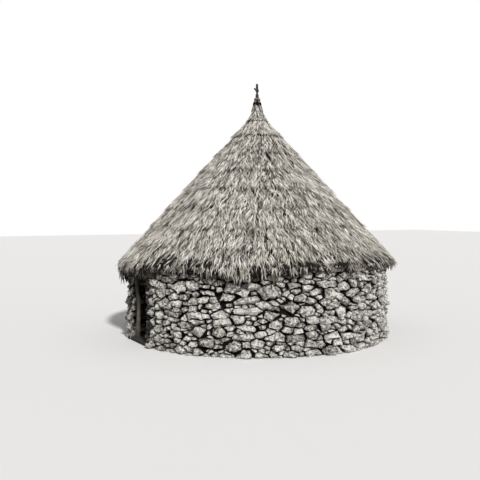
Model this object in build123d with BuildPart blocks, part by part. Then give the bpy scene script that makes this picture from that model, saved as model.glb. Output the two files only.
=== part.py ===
from build123d import *
from math import asin, atan2, cos, degrees, radians, sin, sqrt
import os

# A round dry-stone hut with a low doorway and a conical thatched roof.
# Millimetres, +Z up. The origin is on the hut's axis at floor level, and the doorway faces -Y.

# Ring wall
wall_outer_radius = 2620
wall_thickness = 620
wall_batter = 50
wall_height = 1560
wall_segment_names = [
    "wall_front_right",
    "wall_right_front",
    "wall_right_back",
    "wall_back_right",
    "wall_back",
    "wall_back_left",
    "wall_left_back",
    "wall_left_front",
    "wall_front_left",
]

# Doorway
door_width = 820
over_lintel_height = 190
lintel_seat_length = 160
lintel_depth = 110
lintel_waney_edge = 28
lintel_count = 4
lintel_gap = 8
lintel_end_clearance = 6
jamb_margin_width = 90
threshold_height = 70
threshold_inset = 25
threshold_worn_edge = 18
post_foot_radius = 46
post_head_radius = 38
post_sides = 12
post_jamb_clearance = 4
post_inset = 150
post_sway = 34

# Roof frame
roof_pitch = 47.5
rafter_seat_inset = 145
rafter_foot_radius = 45
rafter_tip_radius = 25
rafter_sides = 16
rafter_pairs = 8
short_rafter_ring_count = 4
short_rafter_overrun_length = 80
batten_radius = 20
batten_foot_length = 240
batten_tip_length = 418
batten_ring_count = 6
batten_end_gap = 4
seat_gap = 0.3

# King pole
king_butt_radius = 70
king_butt_length = 360
king_neck_radius = 17
king_waist_radius = 30
king_knot_radius = 31
king_tip_radius = 22
king_tip_swell = 2
king_waist_rise_height = 446
king_neck_rise_height = 225
king_knot_rise_height = 47
king_tip_rise_height = 138
stub_length = 104
stub_radius = 13
stub_tip_radius = 9
stub_turn_angle = 237.5
stub_rise_angle = 50

# Thatch
thatch_thickness = 165
course_count = 7
cap_butt_radius = 420
course_lap = 300
course_step = 38
bundle_count = 24
bundle_slip = 18
hem_slip = 12
eave_overhang_length = 130
hem_lip_inset = 10
hem_drop_height = 180
hem_wall_clearance = 25
cap_flare_radius = 300
cap_collar_radius = 105
cap_collar_rise_height = 285
cap_neck_radius = 44
cap_top_rise_height = 20

# Tied tip
stick_count = 6
stick_radius = 11
stick_top_rise_height = 105
binding_height = 30
binding_thickness = 10
binding_lower_start = 163
binding_upper_start = 262

os.makedirs("parts", exist_ok=True)


def save(part, name):
    """Label one finished piece and write it under its own name."""
    part.label = name
    export_step(part, f"parts/{name}.step")


def radial_plane(bearing):
    """Upright plane through the hut's axis, its x along the bearing and its y up."""
    turn = radians(bearing)
    return Plane(origin=(0, 0, 0), x_dir=(cos(turn), sin(turn), 0), z_dir=(sin(turn), -cos(turn), 0))


# Ring wall: plumb inside, battered outside, in segments that meet on upright joints

wall_inner_radius = wall_outer_radius - wall_thickness
wall_top_radius = wall_outer_radius - wall_batter
lintel_half_length = door_width / 2 + lintel_seat_length
door_bay_half_angle = degrees(asin((lintel_half_length + jamb_margin_width) / wall_inner_radius))
segment_angle = (360 - 2 * door_bay_half_angle) / len(wall_segment_names)
door_bearing = -90
lintel_top = wall_height - over_lintel_height
door_height = lintel_top - lintel_depth


def wall_face_radius(height):
    """Radius of the battered outer face at a height."""
    return wall_outer_radius - wall_batter * height / wall_height


def wall_section(bearing):
    """The wall's upright section on a bearing."""
    with BuildSketch(radial_plane(bearing)) as section:
        with BuildLine():
            Polyline(
                (wall_inner_radius, 0),
                (wall_outer_radius, 0),
                (wall_top_radius, wall_height),
                (wall_inner_radius, wall_height),
                close=True,
            )
        make_face()
    return section.sketch


for index, name in enumerate(wall_segment_names):
    with BuildPart() as wall_segment:
        section = wall_section(door_bearing + door_bay_half_angle + index * segment_angle)
        revolve(section, axis=Axis.Z, revolution_arc=segment_angle)
    save(wall_segment.part, name)


# Doorway bay: two jamb blocks, each rebated for the lintel logs, and the masonry over the logs

bay_front = Location((0, -wall_outer_radius, 0))
bay_align = (Align.CENTER, Align.MIN, Align.MIN)

for side, name in ((-1, "wall_door_left"), (1, "wall_door_right")):
    start = door_bearing if side > 0 else door_bearing - door_bay_half_angle
    with BuildPart() as jamb_block:
        revolve(wall_section(start), axis=Axis.Z, revolution_arc=door_bay_half_angle)
        with Locations(bay_front):
            Box(door_width, wall_outer_radius, wall_height, align=bay_align, mode=Mode.SUBTRACT)
        with Locations(bay_front * Pos(0, 0, door_height)):
            Box(2 * lintel_half_length, wall_outer_radius, wall_height, align=bay_align,
                mode=Mode.SUBTRACT)
    save(jamb_block.part, name)

with BuildPart() as wall_over_door:
    section = wall_section(door_bearing - door_bay_half_angle)
    revolve(section, axis=Axis.Z, revolution_arc=2 * door_bay_half_angle)
    with Locations(bay_front * Pos(0, 0, lintel_top)):
        Box(2 * lintel_half_length, wall_outer_radius, wall_height, align=bay_align,
            mode=Mode.INTERSECT)
save(wall_over_door.part, "wall_over_door")


# Threshold: one worn slab between the jambs

jamb_outer_depth = sqrt(wall_outer_radius**2 - (door_width / 2) ** 2)
jamb_inner_depth = sqrt(wall_inner_radius**2 - (door_width / 2) ** 2)
threshold_front = -jamb_outer_depth + threshold_inset
threshold_back = -jamb_inner_depth

with BuildPart() as door_threshold:
    with Locations((0, threshold_front, 0)):
        Box(door_width, threshold_back - threshold_front, threshold_height,
            align=(Align.CENTER, Align.MIN, Align.MIN))
    top_edges = door_threshold.faces().sort_by(Axis.Z)[-1].edges()
    fillet(top_edges.filter_by(Axis.X), radius=threshold_worn_edge)
save(door_threshold.part, "door_threshold")


# Lintel logs: hewn flat above and below, laid side by side through the wall

lintel_front = -sqrt(wall_face_radius(lintel_top) ** 2 - lintel_half_length**2)
lintel_back = -wall_inner_radius
lintel_pitch = (lintel_back - lintel_front + lintel_gap) / lintel_count
lintel_width = lintel_pitch - lintel_gap
lintel_length = 2 * (lintel_half_length - lintel_end_clearance)

for index in range(lintel_count):
    centre_y = lintel_front + lintel_width / 2 + index * lintel_pitch
    with BuildPart() as lintel_log:
        with BuildSketch(Plane.YZ.offset(-lintel_length / 2)):
            with Locations((centre_y, door_height + lintel_depth / 2)):
                RectangleRounded(lintel_width, lintel_depth, lintel_waney_edge)
        extrude(amount=lintel_length)
    save(lintel_log.part, f"lintel_log_{index + 1}")


# Door posts: crooked adzed poles from the threshold to the outer lintel logs

post_y = -jamb_outer_depth + post_inset
post_lean = [0, 0.25, 0.6, 0.95, 1, 0.7, 0.35, 0.1, 0]

for side, name in ((-1, "door_post_left"), (1, "door_post_right")):
    post_x = side * (door_width / 2 - post_foot_radius - post_jamb_clearance)
    with BuildPart() as door_post:
        for step, lean in enumerate(post_lean):
            share = step / (len(post_lean) - 1)
            level = threshold_height + share * (door_height - threshold_height)
            radius = post_foot_radius + share * (post_head_radius - post_foot_radius)
            with BuildSketch(Plane.XY.offset(level)):
                with Locations((post_x - side * post_sway * lean, post_y + post_sway * (lean - share) / 2)):
                    RegularPolygon(radius, post_sides)
        loft(ruled=True)
    save(door_post.part, name)


# Roof slope: places are measured along the rafter tops, up from the wall's top, and square out from them

pitch = radians(roof_pitch)
rafter_seat_radius = wall_top_radius - rafter_seat_inset


def slope_point(along, out):
    """Radius and height of a place on the roof slope."""
    return (
        rafter_seat_radius - along * cos(pitch) + out * sin(pitch),
        wall_height + along * sin(pitch) + out * cos(pitch),
    )


def along_at_radius(radius, out):
    """How far up the slope a line at this distance out reaches a radius."""
    return (rafter_seat_radius + out * sin(pitch) - radius) / cos(pitch)


def in_space(point, bearing):
    """Turn a radius and height into a point on a bearing."""
    radius, height = point
    turn = radians(bearing)
    return Vector(radius * cos(turn), radius * sin(turn), height)


# Rafters: tapered poles, many-sided from the adze, with one ridge on the roof slope

rafter_turn = 360 / rafter_pairs
rafter_run_out = 2 * rafter_foot_radius
full_reach = along_at_radius(king_butt_radius, -rafter_tip_radius)
rafter_taper = (rafter_foot_radius - rafter_tip_radius) / full_reach
king_face = king_butt_radius + seat_gap
batten_spacing = (full_reach - batten_tip_length - batten_foot_length) / (batten_ring_count - 1)
short_rafter_reach = batten_foot_length + (short_rafter_ring_count - 1) * batten_spacing
short_rafter_reach += short_rafter_overrun_length


def rafter_radius(along):
    """Radius of a rafter at a place up the slope."""
    return rafter_foot_radius - rafter_taper * along


def rafter_axis_point(along, bearing):
    """Centre of a rafter at a place up the slope."""
    return in_space(slope_point(along, -rafter_radius(along)), bearing)


def raise_rafter(bearing, reach):
    """One adzed pole, a ridge of it on the roof slope, cut flat where it sits on the wall."""
    foot = rafter_axis_point(-rafter_run_out, bearing)
    tip = rafter_axis_point(reach, bearing)
    outward = in_space((sin(pitch), cos(pitch)), bearing)
    ends = []
    for centre, radius in ((foot, rafter_radius(-rafter_run_out)), (tip, rafter_radius(reach))):
        with BuildSketch(Plane(origin=centre, x_dir=outward, z_dir=tip - foot)) as end:
            RegularPolygon(radius, rafter_sides)
        ends.append(end.sketch)
    loft(ends, ruled=True)
    split(bisect_by=Plane.XY.offset(wall_height), keep=Keep.TOP)


for index in range(rafter_pairs):
    bearing = door_bearing + (index + 0.5) * rafter_turn
    outward = in_space((1, 0), bearing)
    with BuildPart() as rafter:
        raise_rafter(bearing, full_reach + rafter_run_out)
        split(bisect_by=Plane(origin=outward * king_face, z_dir=outward), keep=Keep.TOP)
    save(rafter.part, f"rafter_{index + 1}")

short_poles = []
for index in range(rafter_pairs):
    with BuildPart() as short_pole:
        raise_rafter(door_bearing + index * rafter_turn, short_rafter_reach)
    short_poles.append(short_pole.part)
short_rafters = Compound(children=short_poles)
save(short_rafters, "short_rafters")


# Batten rings: straight round sticks from rafter to rafter, each end resting on a rafter


def batten_rise(along, half_turn):
    """Distance of a batten's centre above the rafter tops where it crosses a rafter at an angle."""
    skew = radians(half_turn)
    lift = cos(skew) / sqrt(cos(skew) ** 2 + (sin(skew) * sin(pitch)) ** 2)
    radius = rafter_radius(along)
    return (radius + batten_radius + seat_gap) / lift - radius


for ring in range(batten_ring_count):
    along = batten_foot_length + ring * batten_spacing
    turn = rafter_turn / 2 if ring < short_rafter_ring_count else rafter_turn
    first_bearing = door_bearing + rafter_turn / 2
    corner = slope_point(along, batten_rise(along, turn / 2))
    sticks = []
    for index in range(round(360 / turn)):
        start = in_space(corner, first_bearing + index * turn)
        end = in_space(corner, first_bearing + (index + 1) * turn)
        run = (end - start).normalized()
        with BuildPart() as batten:
            with Locations(Plane(origin=start + run * batten_end_gap, z_dir=run)):
                Cylinder(
                    batten_radius,
                    (end - start).length - 2 * batten_end_gap,
                    align=(Align.CENTER, Align.CENTER, Align.MIN),
                )
        sticks.append(batten.part)
    save(Compound(children=sticks), f"batten_ring_{ring + 1}")


# Thatch: courses of bundles laid side by side from the eave up, each course lapping over the one below

thatch_bed = batten_rise(0, rafter_turn / 2) + batten_radius + seat_gap
thatch_face = thatch_bed + thatch_thickness
eave_turn_radius = wall_top_radius + eave_overhang_length
eave_along = along_at_radius(eave_turn_radius, thatch_face)
cap_along = along_at_radius(cap_butt_radius, thatch_face)
course_pitch = (cap_along - eave_along) / course_count
lap_tilt = atan2(thatch_thickness - course_step / 2, course_lap)
course_shift = seat_gap / sin(lap_tilt)
bundle_angle = 360 / bundle_count


def hand_laid(course, index):
    """Whole steps, from two down to two up, by which one bundle is out of line with its course."""
    return (2 * index + 3 * course) % 5 - 2


def course_line(course, index):
    """How far up the slope one bundle of a course has its butt. The cap's butt is level all round."""
    line = eave_along + (course - 1) * course_pitch
    if course > course_count:
        return line
    return line + bundle_slip * hand_laid(course, index)


def course_top(along):
    """Upper end of a bundle: its face ends under the next course and feathers down to the bed."""
    return [
        slope_point(along + course_lap, thatch_bed),
        slope_point(along, thatch_face - course_step / 2),
    ]


def course_butt(along):
    """Lower end of a bundle, from the bed out to the proud butt."""
    start = along + course_shift
    return [
        slope_point(start + course_lap, thatch_bed),
        slope_point(start, thatch_face - course_step / 2),
        slope_point(start, thatch_face + course_step / 2),
    ]


hem_height = wall_height - hem_drop_height
hem_lip_radius = eave_turn_radius - hem_lip_inset
eave_edge = slope_point(eave_along, thatch_face + course_step / 2)
shoulder_height = wall_height + seat_gap
shoulder_along = (shoulder_height - wall_height - thatch_bed * cos(pitch)) / sin(pitch)


def eave_section(index):
    """Upright section of an eave bundle, from its face round the hem and back over the wall's top."""
    hem = hem_height + hem_slip * hand_laid(1, index)
    with BuildSketch(radial_plane(door_bearing + index * bundle_angle)) as section:
        with BuildLine():
            TangentArc(eave_edge, (hem_lip_radius, hem), tangent=(cos(pitch), -sin(pitch)))
            Polyline(
                (hem_lip_radius, hem),
                (wall_face_radius(hem) + hem_wall_clearance, hem),
                (wall_top_radius + hem_wall_clearance, shoulder_height),
                slope_point(shoulder_along, thatch_bed),
                *course_top(course_line(2, index)),
                eave_edge,
            )
        make_face()
    return section.sketch


def course_section(course, index):
    """Upright section of one bundle of a course above the eave."""
    with BuildSketch(radial_plane(door_bearing + index * bundle_angle)) as section:
        with BuildLine():
            Polyline(
                *course_butt(course_line(course, index)),
                *reversed(course_top(course_line(course + 1, index))),
                close=True,
            )
        make_face()
    return section.sketch


for course in range(1, course_count + 1):
    bundles = []
    for index in range(bundle_count):
        with BuildPart() as bundle:
            section = eave_section(index) if course == 1 else course_section(course, index)
            revolve(section, axis=Axis.Z, revolution_arc=bundle_angle)
        bundles.append(bundle.part)
    save(Compound(children=bundles), "thatch_eave" if course == 1 else f"thatch_course_{course}")


# King pole: butt end between the rafter tips, waist under the cap, knot and stub above

bed_meets_king = slope_point(along_at_radius(king_face, thatch_bed), thatch_bed)
king_shoulder_height = bed_meets_king[1]
king_foot_height = king_shoulder_height - king_butt_length
king_waist_height = king_shoulder_height + king_waist_rise_height
king_neck_height = king_waist_height + king_neck_rise_height
king_knot_height = king_neck_height + king_knot_rise_height
king_tip_height = king_knot_height + king_tip_rise_height


def king_radius(height):
    """Radius of the pole where it tapers through the cap and up to its neck."""
    if height < king_waist_height:
        share = (height - king_shoulder_height) / (king_waist_height - king_shoulder_height)
        return king_butt_radius + share * (king_waist_radius - king_butt_radius)
    share = (height - king_waist_height) / (king_neck_height - king_waist_height)
    return king_waist_radius + share * (king_neck_radius - king_waist_radius)


with BuildPart() as king_pole:
    with BuildSketch(Plane.XZ):
        with BuildLine():
            Polyline(
                (0, king_foot_height),
                (king_butt_radius, king_foot_height),
                (king_butt_radius, king_shoulder_height),
                (king_waist_radius, king_waist_height),
                (king_neck_radius, king_neck_height),
            )
            Spline(
                (king_neck_radius, king_neck_height),
                (king_knot_radius, king_knot_height),
                (king_tip_radius + king_tip_swell, (king_knot_height + king_tip_height) / 2),
                (king_tip_radius, king_tip_height),
            )
            Polyline((king_tip_radius, king_tip_height), (0, king_tip_height), (0, king_foot_height))
        make_face()
    revolve(axis=Axis.Z)
    stub_run = in_space((cos(radians(stub_rise_angle)), sin(radians(stub_rise_angle))), stub_turn_angle)
    with Locations(Plane(origin=(0, 0, king_knot_height), z_dir=stub_run)):
        Cone(stub_radius, stub_tip_radius, stub_length, align=(Align.CENTER, Align.CENTER, Align.MIN))
save(king_pole.part, "king_pole")


# Cap: the last course, straight up the slope and then drawn in and up the pole past a collar

flare_start = slope_point(along_at_radius(cap_flare_radius, thatch_face), thatch_face)
collar = (cap_collar_radius, flare_start[1] + cap_collar_rise_height)
collar_chord = atan2(collar[1] - flare_start[1], flare_start[0] - collar[0])
collar_slope = 2 * collar_chord - pitch
cap_top_height = king_waist_height + cap_top_rise_height
cap_neck = (cap_neck_radius, cap_top_height)
cap_butt = course_butt(cap_along)

with BuildPart() as thatch_cap:
    with BuildSketch(Plane.XZ):
        with BuildLine():
            Polyline(
                cap_neck,
                (king_radius(cap_top_height) + seat_gap, cap_top_height),
                (king_waist_radius + seat_gap, king_waist_height),
                (king_face, king_shoulder_height),
                *cap_butt,
                flare_start,
            )
            TangentArc(flare_start, collar, tangent=(-cos(pitch), sin(pitch)))
            TangentArc(collar, cap_neck, tangent=(-cos(collar_slope), sin(collar_slope)))
        make_face()
    revolve(axis=Axis.Z)
save(thatch_cap.part, "thatch_cap")


# Tied tip: steep sticks laid on the cap, leaning on the pole and bound round twice

stick_top_height = cap_top_height + stick_top_rise_height
stick_top = (king_radius(stick_top_height) + stick_radius + seat_gap, stick_top_height)
first_lean = atan2(stick_top_height - collar[1], collar[0] - stick_top[0])
stick_lift = stick_radius * cos(first_lean - collar_slope) + 2 * seat_gap
stick_foot = (collar[0] + stick_lift * sin(collar_slope), collar[1] + stick_lift * cos(collar_slope))
stick_lean = atan2(stick_top[1] - stick_foot[1], stick_foot[0] - stick_top[0])
stick_length = (stick_top[1] - stick_foot[1]) / sin(stick_lean)

sticks = []
for index in range(stick_count):
    bearing = door_bearing + (index + 0.5) * 360 / stick_count
    foot = in_space(stick_foot, bearing)
    top = in_space(stick_top, bearing)
    with BuildPart() as stick:
        with Locations(Plane(origin=foot, z_dir=top - foot)):
            Cylinder(stick_radius, stick_length, align=(Align.CENTER, Align.CENTER, Align.MIN))
    sticks.append(stick.part)
save(Compound(children=sticks), "apex_sticks")


def stick_point(along, out):
    """Radius and height of a place along a stick and square out from its centre."""
    return (
        stick_foot[0] - along * cos(stick_lean) + out * sin(stick_lean),
        stick_foot[1] + along * sin(stick_lean) + out * cos(stick_lean),
    )


for name, start in (
    ("apex_binding_lower", binding_lower_start),
    ("apex_binding_upper", binding_upper_start),
):
    inner = stick_radius + seat_gap
    outer = inner + binding_thickness
    with BuildPart() as binding:
        with BuildSketch(Plane.XZ):
            with BuildLine():
                Polyline(
                    stick_point(start, inner),
                    stick_point(start, outer),
                    stick_point(start + binding_height, outer),
                    stick_point(start + binding_height, inner),
                    close=True,
                )
            make_face()
        revolve(axis=Axis.Z)
    save(binding.part, name)
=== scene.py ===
import random
from functools import partial
from math import asin, atan2, cos, degrees, hypot, pi, radians, sin, sqrt, tan

import bmesh
import bpy
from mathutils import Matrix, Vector, noise


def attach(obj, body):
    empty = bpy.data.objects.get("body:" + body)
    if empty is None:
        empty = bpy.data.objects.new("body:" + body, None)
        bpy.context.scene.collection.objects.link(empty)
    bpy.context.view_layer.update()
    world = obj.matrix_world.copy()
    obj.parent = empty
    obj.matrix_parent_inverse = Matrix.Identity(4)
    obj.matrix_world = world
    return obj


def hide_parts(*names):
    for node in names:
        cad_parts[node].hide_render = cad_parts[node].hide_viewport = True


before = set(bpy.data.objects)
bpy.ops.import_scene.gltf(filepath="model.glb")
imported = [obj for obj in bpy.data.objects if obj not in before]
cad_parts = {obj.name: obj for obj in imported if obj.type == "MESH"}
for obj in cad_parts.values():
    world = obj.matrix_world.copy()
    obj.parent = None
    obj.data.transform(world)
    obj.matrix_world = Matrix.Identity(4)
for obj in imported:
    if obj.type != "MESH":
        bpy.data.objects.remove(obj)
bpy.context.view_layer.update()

# Vector noise takes its seed from the clock unless it is given one
noise.seed_set(7)

# Sizes shared with the solids, in metres
wall_radius = 2.62
wall_inner_radius = 2.0
wall_batter = 0.05
wall_height = 1.56
segment_names = [
    "wall_front_right", "wall_right_front", "wall_right_back", "wall_back_right", "wall_back",
    "wall_back_left", "wall_left_back", "wall_left_front", "wall_front_left",
]
door_half_width = 0.41
door_height = 1.26
lintel_half_length = 0.57
lintel_top = 1.37
jamb_margin = 0.09
door_bearing = radians(-90)
bay_half_angle = asin((lintel_half_length + jamb_margin) / wall_inner_radius)
roof_pitch = radians(47.5)
rafter_seat_radius = 2.425
thatch_bed = 0.0436
thatch_face = 0.2086
course_step = 0.038
bundle_count = 24
bundle_slip = 0.018
course_lap = 0.30
course_count = 7
cap_butt_radius = 0.42
cap_flare_radius = 0.30
cap_collar_radius = 0.105
cap_collar_rise = 0.285
cap_neck = (0.044, 4.66)
eave_turn_radius = 2.70
hem_lip_radius = 2.69
hem_height = 1.38

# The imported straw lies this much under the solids' face, and loose bundles make up the rest
straw_layer = 0.026
packed_face = thatch_face - straw_layer


# Small helpers


def srgb(code):
    """Linear colour of an sRGB hex value."""
    channels = [int(code[i : i + 2], 16) / 255 for i in (1, 3, 5)]
    linear = [c / 12.92 if c <= 0.04045 else ((c + 0.055) / 1.055) ** 2.4 for c in channels]
    return (*linear, 1)


def feed(node, links):
    """Link or fill in the inputs of a node, by place or by name."""
    for key, value in links.items() if isinstance(links, dict) else enumerate(links):
        if isinstance(value, bpy.types.Node):
            value = value.outputs[0]
        if isinstance(value, bpy.types.NodeSocket):
            node.id_data.links.new(value, node.inputs[key])
        else:
            node.inputs[key].default_value = value


def add_node(tree, kind, links=(), operation=None, stops=(), **settings):
    """Add one node with its inputs, its operation or other settings, and its colour stops.

    A shader node's kind is given by the part after ShaderNode.
    """
    node = tree.nodes.new(kind if "Node" in kind else "ShaderNode" + kind)
    if operation:
        node.operation = operation
    for name, value in settings.items():
        setattr(node, name, value)
    for place, _ in stops[2:]:
        node.color_ramp.elements.new(place)
    for element, (place, code) in zip(node.color_ramp.elements if stops else (), stops):
        element.position = place
        element.color = srgb(code)
    feed(node, links)
    return node


def new_material(name):
    """A material, its shader, and the function that adds a node to it."""
    material = bpy.data.materials.new(name)
    material.use_nodes = True
    tree = material.node_tree
    return material, tree.nodes["Principled BSDF"], partial(add_node, tree)


def round_place(bearing, radius, height):
    """Place at a radius and a height on a bearing."""
    return (radius * cos(bearing), radius * sin(bearing), height)


def tube_faces(sides, rings, mirrored=False):
    """Faces of a tube made of rings of points, closed at both ends."""
    faces = []
    for a in range(0, sides * (rings - 1), sides):
        for k in range(sides):
            n = (k + 1) % sides
            corners = (a + k, a + sides + k, a + sides + n, a + n)
            faces.append((corners[0], *corners[:0:-1]) if mirrored else corners)
    first, last = range(sides), range(sides * (rings - 1), sides * rings)
    return [*faces, [*reversed(first)], [*last]] if mirrored else [*faces, [*first], [*reversed(last)]]


def link_object(name, mesh):
    """An object in the scene that shows a mesh."""
    item = bpy.data.objects.new(name, mesh)
    bpy.context.scene.collection.objects.link(item)
    return item


def new_mesh(name, points, faces, material, **values):
    """A mesh of one material, its values kept as attributes on its points."""
    mesh = bpy.data.meshes.new(name)
    mesh.from_pydata(points, [], faces)
    for key, numbers in values.items():
        mesh.attributes.new(key, "FLOAT", "POINT").data.foreach_set("value", numbers)
    mesh.materials.append(material)
    return mesh


def mesh_piece(name, points, faces, material, edge_angle=0.6, **values):
    """A piece from points and faces, smooth but for edges that turn more than an angle."""
    mesh = new_mesh(name, points, faces, material, **values)
    mesh.shade_smooth()
    mesh.set_sharp_from_angle(angle=edge_angle)
    return link_object(name, mesh)


def finish_piece(piece, slot, *nodes):
    """Hang a piece on the hut and hide the solids that it stands for; its slot is not used."""
    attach(piece, "root")
    if nodes:
        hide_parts(*nodes)


# Materials: pattern scales are counts per metre


def granite(name, stops, relief):
    """Rough granite fieldstone: grey and white grain, pits, and blotches of dry lichen a hand wide.

    Real grain is 2 to 5 mm, and is drawn at 17 mm so that it shows from the photo's place.
    """
    material, shader, add = new_material(name)
    place = add("TexCoord").outputs["Object"]
    tone = add("Attribute", attribute_name="stone_tone").outputs["Fac"]
    depth = add("Attribute", attribute_name="stone_depth").outputs["Fac"]
    # each stone is cut from another part of the pattern
    offset = add("Math", (tone, 53.0), "MULTIPLY")
    moved = add("VectorMath", (place, offset), "ADD")
    # lichen blotches about 110 mm across, pits 40 mm, grain 17 mm and specks of mica 8 mm
    blotch, pits, grain = (
        add("TexNoise", {"Vector": moved, "Scale": scale, "Detail": detail, "Roughness": roughness})
        for scale, detail, roughness in ((9.0, 5.0, 0.62), (24.0, 2.0, 0.55), (60.0, 4.0, 0.7))
    )
    speck = add("TexVoronoi", {"Vector": moved, "Scale": 130.0})
    mixed = add("Math", (tone, 0.24, -0.75), "MULTIPLY_ADD")
    for pattern, share in ((blotch, 0.75), (pits, 1.35), (grain, 0.76), (speck, 0.12)):
        mixed = add("Math", (pattern, share, mixed), "MULTIPLY_ADD")
    colour = add("ValToRGB", (mixed,), stops=stops)
    # painted shade: deep in the joints the stone's colour is darkened, down to a tenth at the back
    shade = add("MapRange", {"Value": depth, "To Min": 0.10, "To Max": 1.0})
    joint_painted_shade = add("Mix", {"Factor": 1.0, 6: colour, 7: shade}, data_type="RGBA", blend_type="MULTIPLY")
    height = add("Math", (pits, 1.6, grain), "MULTIPLY_ADD")
    bump = add("Bump", {"Height": height, "Strength": 0.9, "Distance": relief})
    colour = joint_painted_shade.outputs[2]
    feed(shader, {"Base Color": colour, "Roughness": 0.85, "Specular IOR Level": 0.15, "Normal": bump})
    return material


def hearting_painted_shade():
    """Small rubble and earth packed between the faces: 45 mm lumps, coloured near black as painted shade
    deep in the open joints.
    """
    material, shader, add = new_material("rubble_hearting_painted_shade")
    place = add("TexCoord").outputs["Object"]
    lumps = add("TexVoronoi", {"Vector": place, "Scale": 22.0})
    colour = add("ValToRGB", (lumps,), stops=[(0.1, "#0D0C0B"), (0.7, "#1E1C1A")])
    bump = add("Bump", {"Height": lumps, "Strength": 0.8, "Distance": 0.03})
    feed(shader, {"Base Color": colour, "Roughness": 0.95, "Specular IOR Level": 0.05, "Normal": bump})
    return material


def straw(name, stops):
    """Weathered grey straw: fine light and dark stalks along each bundle, bleached paler at the tips and
    darkened at the roots as painted shade.

    Stalks run down the slope, so across it the pattern is far finer than along it. A real stalk is 3 to
    5 mm thick, and is drawn at about 10 mm low on the roof so that it shows from the photo's place.
    """
    material, shader, add = new_material(name)
    place = add("TexCoord").outputs["Object"]
    tone = add("Attribute", attribute_name="straw_tone").outputs["Fac"]
    reach = add("Attribute", attribute_name="reach").outputs["Fac"]
    mottle = add("TexNoise", {"Vector": place, "Scale": 45.0, "Detail": 3.0, "Roughness": 0.6})
    wide = add("TexNoise", {"Vector": place, "Scale": 2.2, "Detail": 2.0, "Roughness": 0.5})
    parts = add("SeparateXYZ", (place,)).outputs
    bearing = add("Math", (parts["Y"], parts["X"]), "ARCTAN2")
    round_way = add("Math", (bearing, 240.0), "MULTIPLY")
    height_way = add("Math", (parts["Z"], 7.0), "MULTIPLY")
    stalk_place = add("CombineXYZ", (round_way, height_way, 0.0))
    stalks = add("TexNoise", {"Vector": stalk_place, "Scale": 1.0, "Detail": 2.0})
    # reach makes each bundle paler towards its tip: the tips are bleached by weather, and the darker roots
    # are painted shade where bundles overlap
    mixed = add("Math", (tone, -0.40), "ADD")
    for pattern, share in ((mottle, 0.35), (wide, 0.35), (stalks, 0.60), (reach, 0.22)):
        mixed = add("Math", (pattern, share, mixed), "MULTIPLY_ADD")
    scaled = add("Math", (mixed, 0.52), "MULTIPLY")
    colour = add("ValToRGB", (scaled,), stops=stops)
    bump = add("Bump", {"Height": stalks, "Strength": 0.6, "Distance": 0.008})
    feed(shader, {"Base Color": colour, "Roughness": 0.7, "Specular IOR Level": 0.10, "Normal": bump})
    return material


def round_timber(name, stops, stretch, relief):
    """Weathered round timber: bark remnants and long drying cracks that run with the grain.

    Real cracks are 1 to 3 mm wide, and are drawn at 11 to 40 mm so that they show from the photo's place.
    """
    material, shader, add = new_material(name)
    place = add("TexCoord").outputs["Object"]
    drawn = add("Mapping", {"Vector": place, "Scale": stretch})
    grain = add("TexNoise", {"Vector": drawn, "Scale": 1.0, "Detail": 6.0, "Roughness": 0.68})
    patches = add("TexNoise", {"Vector": place, "Scale": 8.0, "Detail": 3.0, "Roughness": 0.6})
    mixed = add("Math", (grain, patches), "ADD")
    half = add("Math", (mixed, 0.5), "MULTIPLY")
    colour = add("ValToRGB", (half,), stops=stops)
    bump = add("Bump", {"Height": grain, "Strength": 0.8, "Distance": relief})
    feed(shader, {"Base Color": colour, "Roughness": 0.8, "Normal": bump})
    return material


fieldstone = granite(
    "rough_granite_fieldstone",
    [(0.42, "#1F1D1B"), (0.64, "#7E7A74"), (0.84, "#C1BDB6"), (1.04, "#F5F2EC")],
    0.026,
)
slab_stone = granite(
    "worn_granite_slab",
    [(0.30, "#5A5753"), (0.48, "#85827C"), (0.62, "#A19E98"), (0.80, "#BDBAB4")],
    0.003,
)
rubble = hearting_painted_shade()
thatch_straw = straw(
    "weathered_straw_thatch",
    [(0.20, "#12110F"), (0.37, "#69645C"), (0.59, "#BAB5AA"), (0.86, "#F6F2EA")],
)
bark_stops = [(0.34, "#2C2722"), (0.50, "#5A524A"), (0.66, "#8C847A")]
# painted shade: the door posts' stops are darker than their timber, for posts that stand in the doorway's
# shade
post_painted_shade_stops = [(0.34, "#262320"), (0.50, "#47423C"), (0.66, "#6E685F")]
dark_stops = [(0.34, "#0F0D0B"), (0.50, "#24201C"), (0.66, "#423C36")]
lintel_timber = round_timber("hewn_lintel_timber", bark_stops, (3, 60, 60), 0.004)
post_timber = round_timber("peeled_post_timber", post_painted_shade_stops, (70, 70, 4), 0.004)
rafter_timber = round_timber("barked_roof_pole", bark_stops, (25, 25, 12), 0.004)
pole_timber = round_timber("weathered_bare_pole", dark_stops, (90, 90, 10), 0.005)


# Dry-stone facing: an irregular layout of stones on a flat strip, each then built as a rough block

# Stones lie long way along, so lengths along the strip count for less where it is shared out
squash = 0.62
# Stones are too close when their middles are nearer than this share of both their sizes
closeness = 0.84
# The most that a stone reaches along from its middle, and how far off its neighbours are looked for
longest_reach = 0.7
near_along, near_up = 0.9, 0.6
# A slab is grown from a row of small places this far apart
slab_step = 0.105
# Smaller stones level the top of the wall
levelling_stone = 0.07
levelling_band = 0.34
# Least, most and usual set-back of a stone's edge from the middle of the joint
joint_set_back = (0.0, 0.015, 0.003)
smallest_stone_area = 0.0006
stone_depth = 0.10
# Corners are worn back by a share of their sides, and some are broken off
corner_worn, corner_broken, broken_often = 0.12, 0.34, 0.15
# How far a stone's front leans along and up, as a slope, and how far its high points stand out at most
lean_along, lean_up = (-0.38, 0.38), (-0.55, 0.25)
highest_point, highest_share = 0.05, 0.19
# Big and small bumps: how many in each metre, and their height as a share of the stone's size
bumps_per_metre = (12, 40)
lump_share, chip_share = 0.11, 0.10
longest_facet = 0.042
split_angle = radians(9)


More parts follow.
